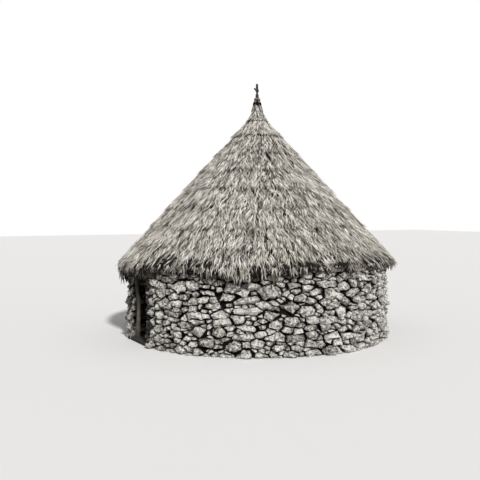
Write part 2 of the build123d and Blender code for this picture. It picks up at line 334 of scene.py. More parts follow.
def clip(outline, nx, ny, limit):
    """The part of a convex outline on the near side of a line."""
    kept = []
    for (ax, ay), (bx, by) in zip(outline, outline[1:] + outline[:1]):
        a = nx * ax + ny * ay - limit
        b = nx * bx + ny * by - limit
        if a <= 0:
            kept.append((ax, ay))
        if a * b < 0:
            share = a / (a - b)
            kept.append((ax + share * (bx - ax), ay + share * (by - ay)))
    return kept


def hull(corners):
    """The outline drawn tight round a set of corners, anticlockwise."""
    corners = sorted(set(corners))

    def half(points):
        chain = []
        for x, y in points:
            while len(chain) > 1:
                (ax, ay), (bx, by) = chain[-2:]
                if (bx - ax) * (y - ay) - (by - ay) * (x - ax) > 1e-9:
                    break
                chain.pop()
            chain.append((x, y))
        return chain[:-1]

    return half(corners) + half(reversed(corners))


class Strip:
    """A flat strip of wall that stones are laid out on. One that wraps goes right round the hut."""

    def __init__(self, width, height, seed, holes=(), wraps=True):
        self.width, self.height, self.holes, self.wraps = width, height, holes, wraps
        self.rng = random.Random(seed)
        self.stones = []

    def apart(self, u, other):
        """Length along from one place to another, the short way if the strip wraps."""
        length = other - u
        return length - self.width * round(length / self.width) if self.wraps else length

    def crowded(self, u, v, r):
        """Whether a stone would lie in a hole or too close to another."""
        for x0, z0, x1, z1 in self.holes:
            if x0 - r * 0.5 < u < x1 + r * 0.5 and z0 - r * 0.4 < v < z1 + r * 0.4:
                return True
        for su, sv, sr, _ in self.stones:
            if hypot(self.apart(u, su) * squash, sv - v) < closeness * (sr + r):
                return True
        return False

    def place_stones(self, quoins, slabs, mix):
        """Middles and sizes of the stones: quoins, long slabs, then big stones down to chinks."""
        rng = self.rng
        for place in quoins:
            self.stones.append((*place, len(self.stones)))
        for _ in range(slabs):
            r, length = rng.uniform(0.038, 0.055), rng.choice((2, 3, 3, 4))
            slope = rng.uniform(-0.25, 0.25)
            u, v = rng.uniform(0.3, self.width - 0.3), rng.uniform(0.05, self.height - 0.05)
            row = [(u + k * slab_step, v + k * slab_step * slope, r) for k in range(length)]
            if not any(self.crowded(*place) for place in row):
                group = len(self.stones)
                self.stones += [(*place, group) for place in row]
        for radius, tries in mix:
            for _ in range(tries):
                u, v = rng.uniform(0, self.width), rng.uniform(0, self.height)
                r = radius * rng.uniform(0.82, 1.15)
                fits = r < levelling_stone or v < self.height - levelling_band
                if fits and not self.crowded(u, v, r):
                    self.stones.append((u, v, r, len(self.stones)))

    def outline(self, stone):
        """What a stone gets: its side of the line of equal power between it and each stone near it."""
        u, v, r, group = stone
        left, right = u - longest_reach, u + longest_reach
        outline = [(left, 0), (right, 0), (right, self.height), (left, self.height)]
        if not self.wraps:
            outline = clip(clip(outline, -1, 0, 0), 1, 0, self.width)
        for su, sv, sr, other in self.stones:
            du, ny = self.apart(u, su), sv - v
            if other == group or abs(du) > near_along or abs(ny) > near_up:
                continue
            nx = du * squash * squash
            limit = ((du * squash) ** 2 + ny**2 + r * r - sr * sr) / 2 + nx * u + ny * v
            length = hypot(nx, ny)
            set_back = self.rng.triangular(*joint_set_back)
            outline = clip(outline, nx / length, ny / length, limit / length - set_back)
            if len(outline) < 3:
                return []
        for x0, z0, x1, z1 in self.holes:
            sides = [(x0 - u, 1, 0, x0), (u - x1, -1, 0, -x1), (z0 - v, 0, 1, z0), (v - z1, 0, -1, -z1)]
            _, nx, ny, limit = max(sides)
            outline = clip(outline, nx, ny, limit)
            if len(outline) < 3:
                return []
        return outline

    def lay_out(self, quoins, slabs, mix):
        """Outlines of the stones that fill the strip, those of a slab's places joined into one."""
        self.place_stones(quoins, slabs, mix)
        groups = {}
        for stone in self.stones:
            groups.setdefault(stone[3], []).extend(self.outline(stone))
        return [hull(corners) for corners in groups.values() if corners]


def with_neighbours(outline):
    """Each corner of an outline, between the one before it and the one after it."""
    return zip(outline[-1:] + outline[:-1], outline, outline[1:] + outline[:1])


def fewer_corners(outline, count):
    """Drop the corners that matter least, as a split stone has few, and leave dark chinks beside it."""
    outline = list(outline)
    while len(outline) > count:
        losses = [
            abs((bx - ax) * (cy - ay) - (by - ay) * (cx - ax))
            for (ax, ay), (bx, by), (cx, cy) in with_neighbours(outline)
        ]
        outline.pop(losses.index(min(losses)))
    return outline


def knock_corners(outline, rng):
    """Wear each corner of an outline back to two blunter ones."""
    worn = []
    for (px, py), (x, y), (nx, ny) in with_neighbours(outline):
        most = corner_broken if rng.random() < broken_often else corner_worn
        near, far = rng.uniform(0.02, most), rng.uniform(0.02, most)
        worn.append((x + (px - x) * near, y + (py - y) * near))
        worn.append((x + (nx - x) * far, y + (ny - y) * far))
    return worn


def area_and_centre(outline):
    """Area and centroid of an outline."""
    area = cx = cy = 0.0
    for (ax, ay), (bx, by) in zip(outline, outline[1:] + outline[:1]):
        cross = ax * by - bx * ay
        area += cross / 2
        cx += (ax + bx) * cross / 6
        cy += (ay + by) * cross / 6
    return area, cx / area, cy / area


def split_block(outline, cx, cy, size, rng):
    """One stone as a mesh: the hull of its worn outline, its shoulders, its tail and a few high points."""
    worn = knock_corners(fewer_corners(outline, rng.choice((4, 5, 6, 6, 7))), rng)
    lean_u, lean_v = rng.uniform(*lean_along), rng.uniform(*lean_up)
    block = bmesh.new()
    for index, (x, y) in enumerate(worn):
        dx, dy = x - cx, y - cy
        belt = rng.uniform(0.74, 0.90) if rng.random() < 0.2 else rng.uniform(0.92, 1.0)
        shoulder = belt * rng.uniform(0.62, 0.97)
        drop = rng.uniform(0.0, 0.30) * size - lean_u * dx - lean_v * dy
        block.verts.new((dx * belt, dy * belt, -stone_depth * rng.uniform(0.25, 0.5)))
        block.verts.new((dx * shoulder, dy * shoulder, -min(drop, stone_depth * 0.3)))
        if index % 3 == 0:
            block.verts.new((dx * 0.7, dy * 0.7, -stone_depth))
    for _ in range(rng.choice((2, 3, 4, 5))):
        x, y = rng.choice(worn)
        share = rng.uniform(0.15, 0.72)
        dx, dy = (x - cx) * share, (y - cy) * share
        rise = min(highest_point, highest_share * size) * rng.uniform(0.2, 1.0)
        block.verts.new((dx, dy, rise + lean_u * dx + lean_v * dy))
    result = bmesh.ops.convex_hull(block, input=block.verts)
    spare = [item for item in result["geom_interior"] if isinstance(item, bmesh.types.BMVert)]
    bmesh.ops.delete(block, geom=spare, context="VERTS")
    return block


def divide_facets(block):
    """Cut the long edges of a block in two where they show, so that its facets can be roughened."""
    deepest = -0.6 * stone_depth
    long_edges = [
        edge
        for edge in block.edges
        if edge.calc_length() > longest_facet and min(vert.co.z for vert in edge.verts) > deepest
    ]
    bmesh.ops.subdivide_edges(block, edges=long_edges, cuts=1)
    bmesh.ops.triangulate(block, faces=block.faces)


class Facing:
    """The points and faces of one stretch of stones, and of the core behind them."""

    def __init__(self):
        self.points, self.faces, self.tones, self.depths, self.slots = [], [], [], [], []

    def add(self, points, faces, tone, depths, slot):
        """Add a shape of one tone, with a depth for each point: 1 at the face, 0 deep in the joints."""
        start = len(self.points)
        self.points += points
        self.faces += [[start + corner for corner in face] for face in faces]
        self.tones += [tone] * len(points)
        self.depths += depths
        self.slots += [slot] * len(faces)

    def lay(self, outline, place, rng, proud, fine, tones=(0, 1)):
        """Build one stone on its outline, roughen it and put it in its place on the wall."""
        area, cx, cy = area_and_centre(outline)
        if area < smallest_stone_area:
            return
        size = sqrt(area)
        block = split_block(outline, cx, cy, size, rng)
        for _ in range(2 if fine else 0):
            divide_facets(block)
        out, tone, seed = rng.uniform(*proud), rng.uniform(*tones), rng.uniform(0, 90)
        points, depths = [], []
        for vert in block.verts:
            x, y, z = vert.co
            lump, chip = (noise.noise_vector((x * n + seed, y * n, z * n)) for n in bumps_per_metre)
            x, y, z = Vector((x, y, z)) + size * (lump_share * lump + chip_share * chip)
            points.append(place(cx + x, cy + y, z + out))
            depths.append(min(1.0, max(0.0, 1.0 + z / (0.6 * stone_depth))))
        block.verts.index_update()
        faces = [[vert.index for vert in face.verts] for face in block.faces]
        self.add(points, faces, tone, depths, 0)
        block.free()


def wall_face(height):
    """Radius of the battered outer face."""
    return wall_radius - wall_batter * height / wall_height


def segment_of(bearing, height):
    """Name of the stretch of wall that a stone belongs to, by its bearing from the doorway's middle."""
    turn = (bearing - door_bearing) % (2 * pi)
    if turn > pi:
        turn -= 2 * pi
    if abs(turn) < bay_half_angle:
        if abs(wall_radius * sin(turn)) < lintel_half_length and height > lintel_top:
            return "wall_over_door"
        return "wall_door_right" if turn > 0 else "wall_door_left"
    share = (turn % (2 * pi) - bay_half_angle) / (2 * pi - 2 * bay_half_angle)
    return segment_names[min(int(share * len(segment_names)), len(segment_names) - 1)]


def bent(half_width, radius):
    """Length along a round face that spans a straight half width."""
    return radius * asin(half_width / radius)


def ring_strip(radius, seed):
    """The strip of a round face: its ends opposite the doorway, the doorway and lintel left open."""
    middle, door, lintel = pi * radius, bent(door_half_width, radius), bent(lintel_half_length, radius)
    holes = [
        (middle - door, -0.1, middle + door, door_height),
        (middle - lintel, door_height, middle + lintel, lintel_top),
    ]
    return Strip(2 * middle, wall_height, seed, holes)


# Quoins stand up both sides of the doorway, and a row of even stones lies on the lintel
quoin_radius = (0.075, 0.105)
quoin_from_edge = (0.11, 0.16)
lowest_quoin, highest_quoin = 0.10, door_height - 0.05
row_count, row_step, row_rise, row_radius = 6, 0.23, 0.095, 0.08
outer_middle = pi * wall_radius
quoin_rng = random.Random(3)
quoins = []
for side in (-1, 1):
    level = lowest_quoin
    while level < highest_quoin:
        radius = quoin_rng.uniform(*quoin_radius)
        edge = bent(door_half_width, wall_radius) + quoin_rng.uniform(*quoin_from_edge)
        quoins.append((outer_middle + side * edge, level, radius))
        level += radius * 2.0
for step in range(row_count):
    place_in_row = (step - (row_count - 1) / 2) * row_step
    quoins.append((outer_middle + place_in_row, lintel_top + row_rise, row_radius))


face_swell = 0.014


def outer_bearing(u):
    """Bearing of a place on the outer strip."""
    return door_bearing + (u - outer_middle) / wall_radius


def on_outer_face(u, v, out):
    """Place on the outer face, with the slight swells of a wall built by eye."""
    bearing = outer_bearing(u)
    swell = face_swell * noise.noise(round_place(bearing, 2.2, v * 1.3))
    return round_place(bearing, wall_face(v) + out + swell, max(v, 0.0))


def inner_bearing(u):
    """Bearing of a place on the inner strip, mirrored so that the stones face the room."""
    return door_bearing - (u - pi * wall_inner_radius) / wall_inner_radius


def on_inner_face(u, v, out):
    """Place on the plumb inner face."""
    return round_place(inner_bearing(u), wall_inner_radius - out, max(v, 0.0))


reveal_front = sqrt(wall_radius**2 - door_half_width**2)
reveal_back = sqrt(wall_inner_radius**2 - door_half_width**2)


def on_reveal(side, u, v, out):
    """Place on a flat side of the doorway."""
    y = -reveal_front + u if side < 0 else -reveal_back - u
    return (side * (door_half_width - out), y, max(v, 0.0))


# Sizes of stones and how often each is tried, the big ones first, and how many slabs are tried
outer_mix = [(0.12, 120), (0.096, 800), (0.074, 2200), (0.05, 4200), (0.03, 6000)]
inner_mix = [(0.135, 200), (0.105, 500), (0.075, 1200)]
reveal_mix = [(0.15, 60), (0.11, 200), (0.08, 400), (0.05, 600)]
outer_slabs, inner_slabs = 190, 40
# How far out the faces of stones stand, and the darker range of tones painted on the doorway's sides as
# painted shade
outer_proud, inner_proud, reveal_proud = (-0.050, 0.018), (-0.04, -0.01), (-0.04, -0.015)
reveal_painted_shade = (-1.3, -0.5)

bay_names = ["wall_door_left", "wall_door_right", "wall_over_door"]
facings = {name: Facing() for name in segment_names + bay_names}
outer_outlines = ring_strip(wall_radius, 11).lay_out(quoins, outer_slabs, outer_mix)
inner_outlines = ring_strip(wall_inner_radius, 12).lay_out([], inner_slabs, inner_mix)
rng = random.Random(5)
for outlines, bearing_of, place, proud, fine in (
    (outer_outlines, outer_bearing, on_outer_face, outer_proud, True),
    (inner_outlines, inner_bearing, on_inner_face, inner_proud, False),
):
    for outline in outlines:
        _, u, v = area_and_centre(outline)
        facings[segment_of(bearing_of(u), v)].lay(outline, place, rng, proud, fine)
for side, name in ((-1, "wall_door_left"), (1, "wall_door_right")):
    strip = Strip(reveal_front - reveal_back, door_height, 20 + side, wraps=False)
    for outline in strip.lay_out([], 0, reveal_mix):
        facings[name].lay(outline, partial(on_reveal, side), rng, reveal_proud, True, reveal_painted_shade)


# Hearting behind the faces: one dark core for each stretch, its near black colour painted shade for the
# open joints
core_inset = 0.10
core_top = wall_height - 0.004
core_steps = 10
lintel_margin = 0.01


def core(start, end, low, high):
    """Points and faces of a closed stretch of core between two bearings and two heights."""
    section = (
        (wall_inner_radius + core_inset, low),
        (wall_face(low) - core_inset, low),
        (wall_face(high) - core_inset, high),
        (wall_inner_radius + core_inset, high),
    )
    bearings = [start + (end - start) * step / core_steps for step in range(core_steps + 1)]
    points = [round_place(bearing, *corner) for bearing in bearings for corner in section]
    return points, tube_faces(4, core_steps + 1)


def core_stretches():
    """Name, bearings and heights of each core."""
    turn = (2 * pi - 2 * bay_half_angle) / len(segment_names)
    for index, name in enumerate(segment_names):
        start = door_bearing + bay_half_angle + index * turn
        yield name, start, start + turn, 0.0, core_top
    door = asin((door_half_width + core_inset) / wall_inner_radius)
    lintel = asin((lintel_half_length + lintel_margin) / wall_inner_radius)
    for side, name in ((-1, "wall_door_left"), (1, "wall_door_right")):
        for low, high, near in ((0.0, door_height, door), (door_height, core_top, lintel)):
            bearings = sorted((door_bearing + side * near, door_bearing + side * bay_half_angle))
            yield name, *bearings, low, high
    low = lintel_top + lintel_margin
    yield "wall_over_door", door_bearing - lintel, door_bearing + lintel, low, core_top


for name, *stretch in core_stretches():
    points, faces = core(*stretch)
    facings[name].add(points, faces, 0.0, [0.0] * len(points), 1)
for name, facing in facings.items():
    values = {"stone_tone": facing.tones, "stone_depth": facing.depths}
    piece = mesh_piece(name + "_stones", facing.points, facing.faces, fieldstone, split_angle, **values)
    piece.data.materials.append(rubble)
    piece.data.polygons.foreach_set("material_index", facing.slots)
    finish_piece(piece, "granite_wall", name)


# Thatch: a bed of packed straw for each course, with loose bundles laid over it


def slope_point(along, out):
    """Radius and height of a place on the roof slope."""
    return (
        rafter_seat_radius - along * cos(roof_pitch) + out * sin(roof_pitch),
        wall_height + along * sin(roof_pitch) + out * cos(roof_pitch),
    )


def along_at_radius(radius, out):
    """How far up the slope a line at this distance out reaches a radius."""
    return (rafter_seat_radius + out * sin(roof_pitch) - radius) / cos(roof_pitch)


def arc_points(start, direction, end, count):
    """Points on the arc that leaves a point in a direction and ends at another, both ends included."""
    chord = Vector(end) - Vector(start)
    heading = Vector(direction).normalized()
    side = Vector((-heading.y, heading.x))
    offset = chord.dot(side)
    radius = chord.length_squared / (2 * offset)
    centre = Vector(start) + side * radius
    first = Vector(start) - centre
    turn = 2 * atan2(offset, chord.dot(heading))
    points = []
    for step in range(count + 1):
        angle = turn * step / count
        x = centre.x + first.x * cos(angle) - first.y * sin(angle)
        y = centre.y + first.x * sin(angle) + first.y * cos(angle)
        points.append((x, y))
    return points


eave_along = along_at_radius(eave_turn_radius, thatch_face)
cap_along = along_at_radius(cap_butt_radius, thatch_face)
course_pitch = (cap_along - eave_along) / course_count
ring_steps = 144
wall_clearance = 0.025
below_everything = -5.0
highest_hem = 1.52
hem_waver = 0.05
butt_waver = 0.03
# Heights of the ragged hem by bearing in degrees: low left of the doorway, high at its right
hem_marks = [
    (0, 1.51), (24, 1.50), (62, 1.44), (102, 1.36), (152, 1.40), (202, 1.34), (237, 1.28), (250, 1.22),
    (272, 1.40), (292, 1.52), (302, 1.49), (317, 1.40), (323, 1.34), (334, 1.38), (345, 1.47), (360, 1.51),
]


def hem_level(bearing):
    """Height of the ragged hem on a bearing."""
    turn = degrees(bearing) % 360
    waver = hem_waver * noise.noise(round_place(bearing, 6, 9))
    for (a, low), (b, high) in zip(hem_marks, hem_marks[1:]):
        if a <= turn <= b:
            return min(low + (high - low) * (turn - a) / (b - a) + waver, highest_hem)
    return hem_height


def course_line(course, bearing):
    """How far up the slope a course has its butts on a bearing, each bundle a little out of line."""
    line = eave_along + (course - 1) * course_pitch
    if course > course_count:
        return line
    index = int((bearing - door_bearing) % (2 * pi) * bundle_count / (2 * pi) + 0.01)
    waver = butt_waver * noise.noise(round_place(bearing, 9, course))
    return line + bundle_slip * ((2 * index + 3 * course) % 5 - 2) + waver


def eave_section(bearing):
    """Section of the lowest course, clockwise from its upper end round the hem to its bed on the wall."""
    end = course_line(2, bearing)
    edge = slope_point(eave_along, packed_face + course_step / 2)
    hem_lip = (hem_lip_radius - straw_layer, hem_level(bearing))
    return [
        slope_point(end, packed_face - course_step / 2),
        *arc_points(edge, (cos(roof_pitch), -sin(roof_pitch)), hem_lip, 6),
        (wall_face(hem_height) + wall_clearance, hem_level(bearing)),
        (wall_face(wall_height) + wall_clearance, wall_height),
        slope_point(-thatch_bed / tan(roof_pitch), thatch_bed),
        slope_point(end + course_lap, thatch_bed),
    ]


def course_section(course, bearing):
    """Section of a course above the eave, clockwise from the upper end of its face."""
    start, end = course_line(course, bearing), course_line(course + 1, bearing)
    return [
        slope_point(end, packed_face - course_step / 2),
        slope_point(start, packed_face + course_step / 2),
        slope_point(start, packed_face - course_step / 2),
        slope_point(start + course_lap, thatch_bed),
        slope_point(end + course_lap, thatch_bed),
    ]


def revolve_section(section, laid):
    """A closed ring from its section on each bearing, with marks on the faces where bundles are laid."""
    points, faces, marks = [], [], []
    for step in range(ring_steps):
        bearing = 2 * pi * step / ring_steps
        outline = section(bearing)
        points += [round_place(bearing, *corner) for corner in outline]
    count = len(outline)
    for step in range(ring_steps):
        a, b = count * step, count * ((step + 1) % ring_steps)
        for k in range(count):
            n = (k + 1) % count
            faces.append((a + k, a + n, b + n, b + k))
            marks.append(k in laid)
    return points, faces, marks


def straw_bundle(name, rings):
    """One slim bundle of stalks along x, pointed at both ends, with three-sided rings at (x, width)."""
    points, faces = [(0.0, 0.0, 0.0)], []
    for x, width in rings:
        for k in range(3):
            turn = 2 * pi * k / 3 + pi / 2
            points.append((x, width * cos(turn), 0.6 * width * sin(turn)))
    points.append((1.0, 0.0, 0.0))
    last = len(points) - 1
    for k in range(3):
        n = (k + 1) % 3
        faces.append((0, 1 + n, 1 + k))
        faces.append((last - 3 + k, last - 3 + n, last))
        for ring in range(len(rings) - 1):
            a = 1 + 3 * ring
            faces.append((a + k, a + n, a + n + 3, a + k + 3))
    mesh = new_mesh(name, points, faces, thatch_straw, reach=[point[0] for point in points])
    return bpy.data.objects.new(name, mesh)


short_bundle = straw_bundle("short_straw_bundle", [(0.4, 0.5)])
long_bundle = straw_bundle("long_straw_bundle", [(0.1, 0.32), (0.4, 0.5), (0.75, 0.42)])

# How straw is laid where a course doesn't say otherwise: metres, radians and shares
usual_laying = {
    "Bundle": short_bundle, "Bundles per m2": 2700.0, "Bundle length": 0.20, "Bundle width": 0.022,
    "Clump width": 0.10, "Clump length": 0.20, "Clump turn": 0.50, "Clump pull": 0.35, "Clump lift": 0.07,
    "Loose turn": 0.38, "Loose lift": 0.10, "Least lift": -0.02, "Butt along": below_everything,
    "Hem raggedness": 0.16, "Hem gaps": 0.0, "Damp": 0.0, "Sag": 0.0, "Ring radius": 2.6,
    "Seed": 1, "Keep bed": True,
}
socket_kinds = {
    float: "NodeSocketFloat",
    int: "NodeSocketInt",
    bool: "NodeSocketBool",
    bpy.types.Object: "NodeSocketObject",
}
hang_along = eave_along + 0.10
butt_raggedness = 0.50
least_bundle = 0.05
butt_sink = 0.004
# Streaks where the hem has lost its locks, and the heights over the hem between which they fade
streaks_per_metre = 26.0
streaks_fade = (0.26, 0.46)


def cone_place(add, radius_given):
    """Where a bundle is on the roof: height, outward way, length round and length up the slope."""
    parts = add("SeparateXYZ", (add("GeometryNodeInputPosition"),)).outputs
    flat = add("CombineXYZ", (parts["X"], parts["Y"], 0.0))
    radius = add("VectorMath", (flat,), "LENGTH").outputs["Value"]
    outward = add("VectorMath", (flat,), "NORMALIZE")
    bearing = add("Math", (parts["Y"], parts["X"]), "ARCTAN2")
    round_way = add("Math", (bearing, radius_given), "MULTIPLY")
    # up the slope as the section's points are measured
    inset = add("Math", (radius, rafter_seat_radius), "SUBTRACT")
    inset = add("Math", (inset, cos(roof_pitch)), "MULTIPLY")
    rise = add("Math", (parts["Z"], wall_height), "SUBTRACT")
    rise = add("Math", (rise, sin(roof_pitch)), "MULTIPLY")
    along = add("Math", (rise, inset), "SUBTRACT")
    return parts["Z"], outward, round_way, along


def clumps(add, given, height, round_way):
    """What bundles near one another share: three chances, and how far off their clump's middle it is."""
    clump_x = add("Math", (round_way, given["Clump width"]), "DIVIDE")
    clump_y = add("Math", (height, given["Clump length"]), "DIVIDE")
    here = add("CombineXYZ", (clump_x, clump_y, 0.0))
    clump = add("TexVoronoi", {"Vector": here, "Scale": 1.0}).outputs
    shared = add("FunctionNodeSeparateColor", (clump["Color"],)).outputs
    toward = add("VectorMath", (clump["Position"], here), "SUBTRACT")
    return shared, add("SeparateXYZ", (toward,))


def bundle_aim(add, given, luck, normal, outward, along, shared, toward):
    """Rotation of a bundle: down the slope, steeper near the hem, turned and lifted by chance."""
    across = add("VectorMath", ((0, 0, 1), outward), "CROSS_PRODUCT")
    slope_way = add("VectorMath", (across, normal), "CROSS_PRODUCT")
    # bundles sag more and more over the last quarter of a metre
    hang = add("Math", (hang_along, along), "SUBTRACT")
    hang = add("Math", (hang, 4.0), "MULTIPLY", use_clamp=True)
    hang = add("Math", (hang, given["Sag"]), "MULTIPLY")
    sagged = add("VectorMath", {0: (0, 0, -1), "Scale": hang}, "SCALE")
    down = add("VectorMath", (slope_way, sagged), "ADD")
    down = add("VectorMath", (down,), "NORMALIZE")
    turn = add("Math", (shared["Red"], 0.5), "SUBTRACT")
    turn = add("Math", (turn, given["Clump turn"]), "MULTIPLY")
    turn = add("Math", (toward, given["Clump pull"], turn), "MULTIPLY_ADD")
    own_turn, own_lift = (add("Math", (chance, 2.0, -1.0), "MULTIPLY_ADD") for chance in luck[:2])
    turn = add("Math", (own_turn, given["Loose turn"], turn), "MULTIPLY_ADD")
    lift = add("Math", (shared["Green"], given["Clump lift"], given["Least lift"]), "MULTIPLY_ADD")
    lift = add("Math", (own_lift, given["Loose lift"], lift), "MULTIPLY_ADD")
    turned = add("VectorRotate", {"Vector": down, "Axis": normal, "Angle": turn})
    hinge = add("VectorMath", (turned, normal), "CROSS_PRODUCT")
    lifted = add("VectorRotate", {"Vector": turned, "Axis": hinge, "Angle": lift})
    aim = add("FunctionNodeAxesToRotation", (lifted, normal), primary_axis="X", secondary_axis="Z")
    own_roll = add("Math", (luck[2], 1.4, -0.7), "MULTIPLY_ADD")
    roll = add("FunctionNodeAxisAngleToRotation", ((1, 0, 0), own_roll))
    return add("FunctionNodeRotateRotation", (aim, roll), rotation_space="LOCAL")


def bundle_size(add, given, luck, along, hem_room, shared):
    """Length and thickness of a bundle, which ends near the course's butt line or near the hem."""
    room = add("Math", (along, given["Butt along"]), "SUBTRACT")
    room = add("Math", (luck[3], butt_raggedness, room), "MULTIPLY_ADD")
    ragged = add("Math", (luck[4], 0.5, shared["Blue"]), "MULTIPLY_ADD")
    ragged = add("Math", (ragged, 0.72), "SUBTRACT")
    hem_room = add("Math", (ragged, given["Hem raggedness"], hem_room), "MULTIPLY_ADD")
    room = add("Math", (room, hem_room), "MINIMUM")
    room = add("Math", (room, least_bundle), "MAXIMUM")
    own = add("Math", (luck[5], 0.6, 0.7), "MULTIPLY_ADD")
    full = add("Math", (given["Bundle length"], own), "MULTIPLY")
    length = add("Math", (full, room), "MINIMUM")
    width = add("Math", (given["Bundle width"], own), "MULTIPLY")
    return add("CombineXYZ", (length, width, width))


def bundle_tone(add, given, luck, hem_room, shared):
    """Tone of a bundle, by clump and by chance, darker near the hem as painted shade."""
    tone = add("Math", (shared["Blue"], 0.22), "MULTIPLY")
    tone = add("Math", (luck[6], 1.2, tone), "MULTIPLY_ADD")
    # painted shade: full right at the hem, gone from 0.3 m over it
    hem_painted_shade = add("Math", (hem_room, -4.0, 1.2), "MULTIPLY_ADD", use_clamp=True)
    hem_painted_shade = add("Math", (hem_painted_shade, given["Damp"]), "MULTIPLY")
    return add("Math", (tone, hem_painted_shade), "SUBTRACT")


def bundle_stays(add, given, height, round_way, hem_room):
    """Whether a bundle is still there: near the hem the weather has pulled locks out."""
    streak_x = add("Math", (round_way, streaks_per_metre), "MULTIPLY")
    streak_place = add("CombineXYZ", (streak_x, height, 0.0))
    streak = add("TexNoise", {"Vector": streak_place, "Scale": 1.0, "Detail": 1.0})
    near_hem = add("MapRange", (hem_room, *streaks_fade, 1.0, 0.0))
    gap = add("Math", (near_hem, given["Hem gaps"]), "MULTIPLY")
    return add("FunctionNodeCompare", (streak, gap), "GREATER_THAN")


def thatching_tree():
    """Geometry Nodes that lay straw bundles down a roof surface, in clumps, with ragged ends."""
    tree = bpy.data.node_groups.new("lay_straw_bundles", "GeometryNodeTree")
    add = partial(add_node, tree)
    new_socket = tree.interface.new_socket
    new_socket("Geometry", in_out="INPUT", socket_type="NodeSocketGeometry")
    new_socket("Geometry", in_out="OUTPUT", socket_type="NodeSocketGeometry")
    for label, usual in usual_laying.items():
        new_socket(label, in_out="INPUT", socket_type=socket_kinds[type(usual)])
    given = add("NodeGroupInput").outputs
    luck = [add("FunctionNodeRandomValue", {"Seed": n}).outputs[1] for n in range(7)]
    laid = add("GeometryNodeInputNamedAttribute", {"Name": "laid"}, data_type="BOOLEAN")
    hem = add("GeometryNodeInputNamedAttribute", {"Name": "hem"})
    spread = add(
        "GeometryNodeDistributePointsOnFaces",
        {
            "Mesh": given["Geometry"],
            "Selection": laid,
            "Density": given["Bundles per m2"],
            "Seed": given["Seed"],
        },
    )
    normal = spread.outputs["Normal"]

    # worked out for each bundle where it lies
    height, outward, round_way, along = cone_place(add, given["Ring radius"])
    shared, toward = clumps(add, given, height, round_way)
    hem_room = add("Math", (height, hem), "SUBTRACT")
    kept = add("GeometryNodeCaptureAttribute", (spread,))
    for kind, label, value in (
        ("FLOAT", "tone", bundle_tone(add, given, luck, hem_room, shared)),
        ("ROTATION", "aim", bundle_aim(add, given, luck, normal, outward, along, shared, toward)),
        ("VECTOR", "size", bundle_size(add, given, luck, along, hem_room, shared)),
    ):
        kept.capture_items.new(kind, label)
        feed(kept, {label: value})

    # bundles on their places, butts sunk a little into the bed
    sink = add("VectorMath", {0: normal, "Scale": -butt_sink}, "SCALE")
    bundles = add(
        "GeometryNodeInstanceOnPoints",
        {
            "Points": add("GeometryNodeSetPosition", {"Geometry": kept, "Offset": sink}),
            "Selection": bundle_stays(add, given, height, round_way, hem_room),
            "Instance": add("GeometryNodeObjectInfo", {"Object": given["Bundle"]}).outputs["Geometry"],
            "Rotation": kept.outputs["aim"],
            "Scale": kept.outputs["size"],
        },
    )
    toned = add(
        "GeometryNodeStoreNamedAttribute",
        {"Geometry": bundles, "Name": "straw_tone", "Value": kept.outputs["tone"]},
        domain="INSTANCE",
    )
    real = add("GeometryNodeRealizeInstances", (toned,))
    bed = add(
        "GeometryNodeSwitch",
        {"Switch": given["Keep bed"], "True": given["Geometry"]},
        input_type="GEOMETRY",
    )
    joined = add("GeometryNodeJoinGeometry")
    for layer in (real, bed):
        feed(joined, (layer,))
    add("NodeGroupOutput", (joined,))
    return tree


lay_straw = thatching_tree()


def thatch(name, section, laid, settings, *nodes):
    """Make one course: its bed from a section, its bundles from the tree, both as one plain mesh."""
    points, faces, marks = revolve_section(section, laid)
    hem = [hem_level(atan2(y, x)) for x, y, _ in points]
    mesh = new_mesh(name, points, faces, thatch_straw, hem=hem)
    mesh.attributes.new("laid", "BOOLEAN", "FACE").data.foreach_set("value", marks)
    bed = link_object(name + "_bed", mesh)
    modifier = bed.modifiers.new("straw", "NODES")
    modifier.node_group = lay_straw
    chosen = usual_laying | settings
    for item in lay_straw.interface.items_tree:
        if item.name in chosen:
            modifier[item.identifier] = chosen[item.name]
    graph = bpy.context.evaluated_depsgraph_get()
    shown = bed.evaluated_get(graph)
    done = bpy.data.meshes.new_from_object(shown, preserve_all_data_layers=True, depsgraph=graph)
    bpy.data.objects.remove(bed)
    done.name = name
    done.shade_flat()
    finish_piece(link_object(name, done), "thatch", *nodes)


eave_straw = {"Sag": 1.3, "Damp": 0.46, "Hem gaps": 0.51, "Hem raggedness": 0.24}
thatch("thatch_eave_straw", eave_section, {0, 1, 2, 3}, eave_straw, "thatch_eave")
# Long limp locks that hang from the hem
fringe_straw = {
    "Bundle": long_bundle, "Bundles per m2": 800.0, "Bundle length": 0.30, "Bundle width": 0.024,
    "Clump width": 0.15, "Clump length": 0.8, "Clump turn": 0.7, "Clump pull": 1.6, "Clump lift": 0.05,
    "Hem raggedness": 0.36, "Hem gaps": 0.49, "Damp": 0.72, "Sag": 3.0, "Ring radius": 2.7, "Seed": 2,
    "Keep bed": False,
}
thatch("thatch_hem_fringe", eave_section, {3, 4, 5, 6, 7}, fringe_straw)
for course in range(2, course_count + 1):
    line = eave_along + (course - 1) * course_pitch
    middle_radius, _ = slope_point(line + course_pitch / 2, thatch_face)
    course_straw = {"Ring radius": middle_radius, "Butt along": line, "Seed": course * 10}
    section = partial(course_section, course)
    thatch(f"thatch_course_{course}_straw", section, {0}, course_straw, f"thatch_course_{course}")


# Cap: straw laid straight up the slope and then drawn in round the pole
cap_sink = 0.010
cap_face = thatch_face - cap_sink
flare_start = slope_point(along_at_radius(cap_flare_radius, thatch_face), cap_face)
collar = (cap_collar_radius, flare_start[1] + cap_collar_rise)
collar_slope = 2 * atan2(collar[1] - flare_start[1], flare_start[0] - collar[0]) - roof_pitch
pole_foot = (0.0706, 4.1946)
pole_neck = (0.0306, 4.64)
